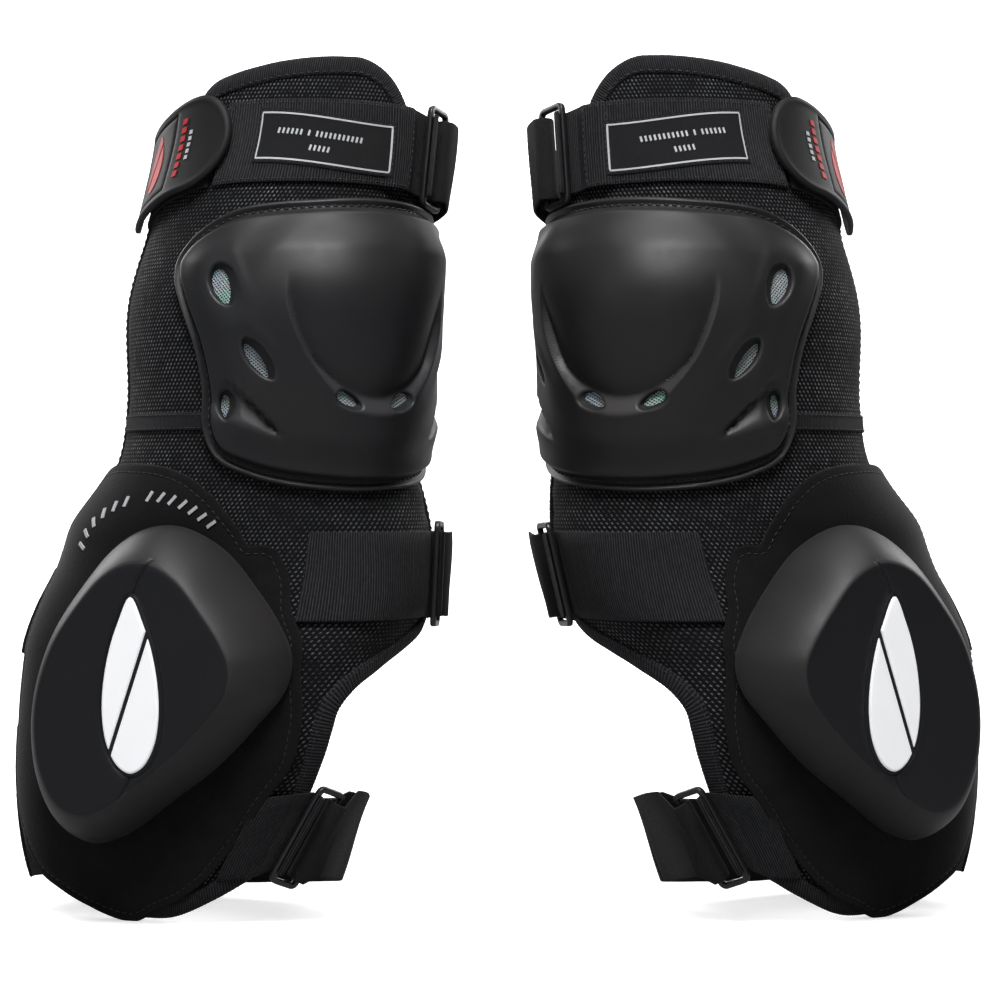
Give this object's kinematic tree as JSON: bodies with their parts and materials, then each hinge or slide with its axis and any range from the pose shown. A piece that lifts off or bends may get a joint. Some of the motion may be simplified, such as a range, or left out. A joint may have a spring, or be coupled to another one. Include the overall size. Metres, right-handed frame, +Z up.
{
  "type": "knee guards",
  "caption": "Left and right motorcycle knee guards: vented knee cups on mesh and webbing wraps, with removable sliders on the outer shins.",
  "frame": {"origin": "middle of the pair's bounding box in X and Y, on the ground plane through the lowest point", "axes": "+Z up the leg, -Y to the front of the knees, +X towards the guard marked right_ in the node names, which is on the right when seen from the front"},
  "size_m": [0.4796, 0.2004, 0.4166],
  "materials": {
    "spacer_mesh": "three-layer spacer mesh, matt",
    "edge_tape": "ribbed woven binding tape",
    "foam": "soft closed-cell padding",
    "lining": "knitted lining",
    "vent_mesh": "silver-grey open mesh",
    "cup_shell": "satin moulded shell",
    "ribbed_webbing": "ribbed elastic webbing",
    "smooth_webbing": "smooth elastic webbing",
    "label_cloth": "woven label with a thin light border",
    "ring_plastic": "moulded black plastic",
    "tab_rubber": "matt moulded rubber",
    "hook_tape": "hook tape",
    "velour": "loop velour, very black",
    "slider_shell": "satin moulded slider",
    "inlay": "white raised inlay"
  },
  "bodies": {
    "left_knee": {"left_knee_panel": "spacer_mesh", "left_knee_edge_binding": "edge_tape", "left_comfort_pad": "foam", "left_knee_lining": "lining", "left_vent_mesh": "vent_mesh", "left_knee_cup": "cup_shell"},
    "left_thigh": {"left_thigh_panel": "spacer_mesh", "left_top_binding": "edge_tape", "left_label_band": "ribbed_webbing", "left_label": "label_cloth", "left_upper_strap": "smooth_webbing"},
    "left_upper_ring": {"left_upper_ring": "ring_plastic"},
    "left_tab": {"left_tab": "tab_rubber", "left_tab_hook_pad": "hook_tape"},
    "left_shin": {"left_shin_panel": "spacer_mesh", "left_shin_pad": "foam", "left_shin_binding": "edge_tape", "left_slider_patch": "velour", "left_mid_band": "ribbed_webbing", "left_mid_strap": "smooth_webbing", "left_lower_band": "ribbed_webbing", "left_lower_strap": "smooth_webbing"},
    "left_mid_end": {"left_mid_strap_end": "smooth_webbing"},
    "left_mid_ring": {"left_mid_ring": "ring_plastic"},
    "left_lower_end": {"left_lower_strap_end": "smooth_webbing"},
    "left_lower_ring": {"left_lower_ring": "ring_plastic"},
    "left_puck": {"left_slider_puck": "slider_shell", "left_slider_hook_pad": "hook_tape", "left_slider_inlay": "inlay"},
    "right_knee": {"right_knee_panel": "spacer_mesh", "right_knee_edge_binding": "edge_tape", "right_comfort_pad": "foam", "right_knee_lining": "lining", "right_vent_mesh": "vent_mesh", "right_knee_cup": "cup_shell"},
    "right_thigh": {"right_thigh_panel": "spacer_mesh", "right_top_binding": "edge_tape", "right_label_band": "ribbed_webbing", "right_label": "label_cloth", "right_upper_strap": "smooth_webbing"},
    "right_upper_ring": {"right_upper_ring": "ring_plastic"},
    "right_tab": {"right_tab": "tab_rubber", "right_tab_hook_pad": "hook_tape"},
    "right_shin": {"right_shin_panel": "spacer_mesh", "right_shin_pad": "foam", "right_shin_binding": "edge_tape", "right_slider_patch": "velour", "right_mid_band": "ribbed_webbing", "right_mid_strap": "smooth_webbing", "right_lower_band": "ribbed_webbing", "right_lower_strap": "smooth_webbing"},
    "right_mid_end": {"right_mid_strap_end": "smooth_webbing"},
    "right_mid_ring": {"right_mid_ring": "ring_plastic"},
    "right_lower_end": {"right_lower_strap_end": "smooth_webbing"},
    "right_lower_ring": {"right_lower_ring": "ring_plastic"},
    "right_puck": {"right_slider_puck": "slider_shell", "right_slider_hook_pad": "hook_tape", "right_slider_inlay": "inlay"}
  },
  "joints": [
    {"name": "left_thigh_flex", "type": "hinge", "parent": "left_knee", "child": "left_thigh", "pos_m": [-0.06348, -0.03497, 0.3491], "axis": [-0.766, -0.6428, 0], "range_deg": [0, 3]},
    {"name": "left_shin_flex", "type": "hinge", "parent": "left_knee", "child": "left_shin", "pos_m": [-0.07254, -0.04652, 0.2015], "axis": [0.766, 0.6428, 0], "range_deg": [0, 10]},
    {"name": "left_tab_peel", "type": "hinge", "parent": "left_thigh", "child": "left_tab", "pos_m": [-0.1736, 0.01154, 0.357], "axis": [0, 0, -1], "range_deg": [0, 80]},
    {"name": "left_slider_pull", "type": "slide", "parent": "left_shin", "child": "left_puck", "axis": [-0.4067, -0.9135, 0], "range_m": [0, 0.03]},
    {"name": "left_upper_ring_swing", "type": "hinge", "parent": "left_thigh", "child": "left_upper_ring", "pos_m": [-0.03572, -0.01135, 0.37085], "axis": [0.0911, 0.1366, 0.9864], "range_deg": [-4, 1.5]},
    {"name": "left_mid_ring_swing", "type": "hinge", "parent": "left_shin", "child": "left_mid_ring", "pos_m": [-0.03185, -0.00333, 0.1665], "axis": [0.0457, 0.0259, 0.9986], "range_deg": [-4, 4]},
    {"name": "left_lower_ring_swing", "type": "hinge", "parent": "left_shin", "child": "left_lower_ring", "pos_m": [-0.09645, -0.05168, 0.04435], "axis": [0.4851, -0.0153, 0.8743], "range_deg": [-4, 4]},
    {"name": "left_mid_strap_peel", "type": "hinge", "parent": "left_shin", "child": "left_mid_end", "pos_m": [-0.06585, 0.05369, 0.1545], "axis": [-0.3819, -0.0798, -0.9208], "range_deg": [0, 75]},
    {"name": "left_lower_strap_peel", "type": "hinge", "parent": "left_shin", "child": "left_lower_end", "pos_m": [-0.07291, 0.00863, 0.03518], "axis": [-0.3066, -0.2249, -0.9249], "range_deg": [0, 50]},
    {"name": "right_thigh_flex", "type": "hinge", "parent": "right_knee", "child": "right_thigh", "pos_m": [0.06259, -0.04159, 0.3491], "axis": [-0.848, 0.5299, 0], "range_deg": [0, 3]},
    {"name": "right_shin_flex", "type": "hinge", "parent": "right_knee", "child": "right_shin", "pos_m": [0.07214, -0.05213, 0.2015], "axis": [0.848, -0.5299, 0], "range_deg": [0, 10]},
    {"name": "right_tab_peel", "type": "hinge", "parent": "right_thigh", "child": "right_tab", "pos_m": [0.16867, 0.021, 0.357], "axis": [0, 0, 1], "range_deg": [0, 80]},
    {"name": "right_slider_pull", "type": "slide", "parent": "right_shin", "child": "right_puck", "axis": [0.5299, -0.848, 0], "range_m": [0, 0.03]},
    {"name": "right_upper_ring_swing", "type": "hinge", "parent": "right_thigh", "child": "right_upper_ring", "pos_m": [0.03135, -0.0221, 0.37085], "axis": [0.0616, -0.1372, -0.9886], "range_deg": [-4, 1.5]},
    {"name": "right_mid_ring_swing", "type": "hinge", "parent": "right_shin", "child": "right_mid_ring", "pos_m": [0.02892, -0.01387, 0.1665], "axis": [0.22, 0.0122, -0.9754], "range_deg": [-4, 4]},
    {"name": "right_lower_ring_swing", "type": "hinge", "parent": "right_shin", "child": "right_lower_ring", "pos_m": [0.10622, -0.05158, 0.04435], "axis": [0.4782, 0.0827, -0.8743], "range_deg": [-4, 4]},
    {"name": "right_mid_strap_peel", "type": "hinge", "parent": "right_shin", "child": "right_mid_end", "pos_m": [0.05792, 0.04823, 0.1545], "axis": [-0.4901, 0.015, 0.8715], "range_deg": [0, 75]},
    {"name": "right_lower_strap_peel", "type": "hinge", "parent": "right_shin", "child": "right_lower_end", "pos_m": [0.07451, 0.00487, 0.03518], "axis": [-0.3349, 0.18, 0.9249], "range_deg": [0, 50]},
    {"name": "pair_spread", "type": "slide", "parent": "left_knee", "child": "right_knee", "axis": [1, 0, 0], "range_m": [0, 0.06]}
  ]
}
